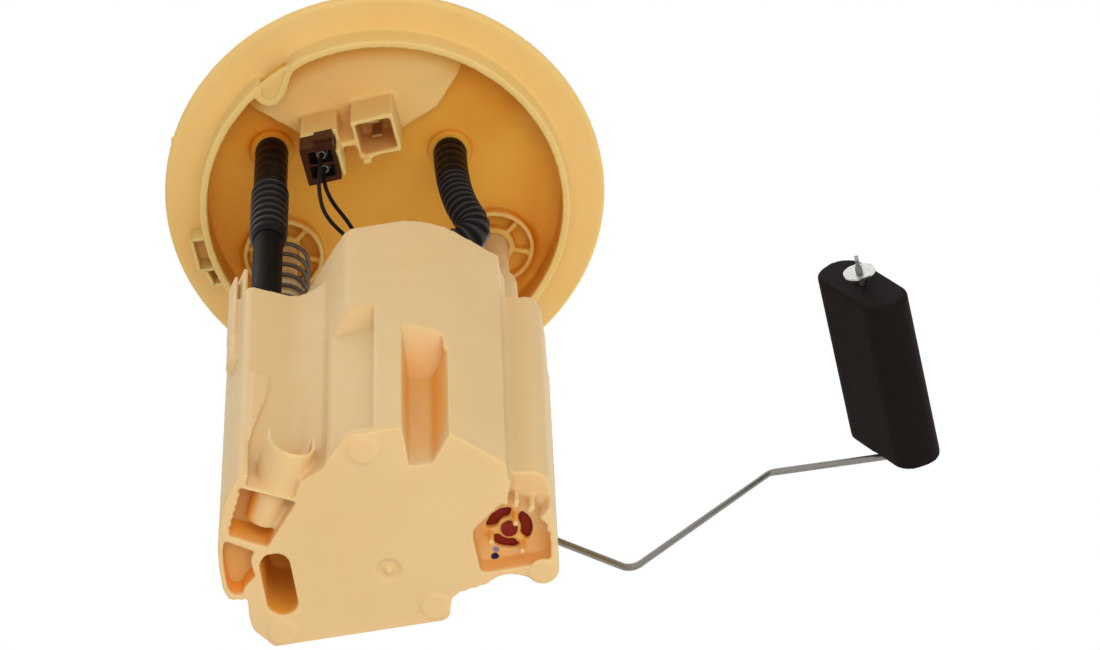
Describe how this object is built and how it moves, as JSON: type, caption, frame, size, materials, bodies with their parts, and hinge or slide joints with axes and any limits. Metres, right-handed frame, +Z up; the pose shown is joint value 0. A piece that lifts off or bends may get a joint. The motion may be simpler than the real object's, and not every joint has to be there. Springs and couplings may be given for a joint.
{
  "type": "fuel pump module",
  "caption": "In-tank fuel pump module: round flange with hoses and guide rods, spring-loaded reservoir with a pump inside, and a wire arm with a float.",
  "frame": {"origin": "centre of the tank collar at the underside of the flange rim, where the tank seat is", "axes": "+Z up out of the tank along the collar axis, +X along the reservoir back wall towards the float, +Y towards the back wall"},
  "size_m": [0.214, 0.13, 0.2291],
  "materials": {
    "flange_plastic": "satin moulded",
    "tinned_blade": "tinned",
    "rod_plastic": "satin moulded",
    "clip_steel": "spring steel",
    "spring_steel": "oiled wire",
    "plug_plastic": "satin moulded",
    "tinned_crimp": "tinned",
    "lead_jacket": "smooth",
    "hose_black": "satin",
    "bucket_plastic": "satin moulded",
    "nozzle_plastic": "moulded",
    "valve_rubber": "soft",
    "holder_plastic": "satin moulded",
    "damper_rubber": "matte",
    "case_steel": "plated",
    "cap_plastic": "moulded",
    "brush_carbon": "carbon",
    "cover_alloy": "die cast",
    "impeller_plastic": "moulded",
    "armature_steel": "laminated",
    "commutator_copper": "turned",
    "magnet_ferrite": "ground",
    "strainer_cloth": "woven",
    "carrier_plastic": "satin moulded",
    "card_ceramic": "ceramic",
    "hub_plastic": "moulded",
    "wiper_brass": "sprung strip",
    "arm_wire": "drawn wire",
    "nut_steel": "bright",
    "float_foam": "closed foam"
  },
  "bodies": {
    "flange": {"tank_flange": "flange_plastic", "flange_terminals": "tinned_blade", "guide_rod_left": "rod_plastic", "guide_rod_right": "rod_plastic", "rod_clip_left": "clip_steel", "rod_clip_right": "clip_steel", "guide_spring": "spring_steel", "pump_plug": "plug_plastic", "plug_terminals": "tinned_crimp", "pump_lead_live": "lead_jacket", "pump_lead_earth": "lead_jacket", "return_hose": "hose_black", "supply_hose": "hose_black"},
    "reservoir": {"return_tube": "hose_black", "reservoir_bucket": "bucket_plastic", "jet_nozzle": "nozzle_plastic", "pump_holder": "holder_plastic", "pump_damper": "damper_rubber", "pump_case": "case_steel", "pump_outlet_cap": "cap_plastic", "pump_brushes": "brush_carbon", "pump_inlet_cover": "cover_alloy", "pump_volute": "cover_alloy", "pump_magnets": "magnet_ferrite", "pump_strainer": "strainer_cloth", "sender_carrier": "carrier_plastic", "resistor_card": "card_ceramic"},
    "valve": {"inlet_valve": "valve_rubber"},
    "rotor": {"pump_armature": "armature_steel", "pump_impeller": "impeller_plastic", "pump_commutator": "commutator_copper"},
    "arm": {"sender_hub": "hub_plastic", "sender_wiper": "wiper_brass", "float_arm": "arm_wire", "float_nut": "nut_steel"},
    "float": {"float_block": "float_foam"}
  },
  "joints": [
    {"name": "reservoir_slide", "type": "slide", "parent": "flange", "child": "reservoir", "axis": [0, 0, 1], "range_m": [0, 0.022], "stiffness_N_per_m": 350, "springref_m": -0.05, "deforming": ["guide_spring", "return_hose", "supply_hose", "pump_lead_live", "pump_lead_earth"]},
    {"name": "inlet_valve_lift", "type": "slide", "parent": "reservoir", "child": "valve", "axis": [0, 0, 1], "range_m": [0, 0.0012]},
    {"name": "pump_spin", "type": "hinge", "parent": "reservoir", "child": "rotor", "pos_m": [0.001, -0.002, -0.15], "axis": [0, 0, 1], "continuous": true},
    {"name": "float_arm_swing", "type": "hinge", "parent": "reservoir", "child": "arm", "pos_m": [0.008, 0.0308, -0.126], "axis": [0, -1, 0], "range_deg": [-20, 45]},
    {"name": "float_swivel", "type": "hinge", "parent": "arm", "child": "float", "pos_m": [0.13612, 0.0026, -0.145], "axis": [-0.0488, -0.9988, 0], "continuous": true}
  ]
}
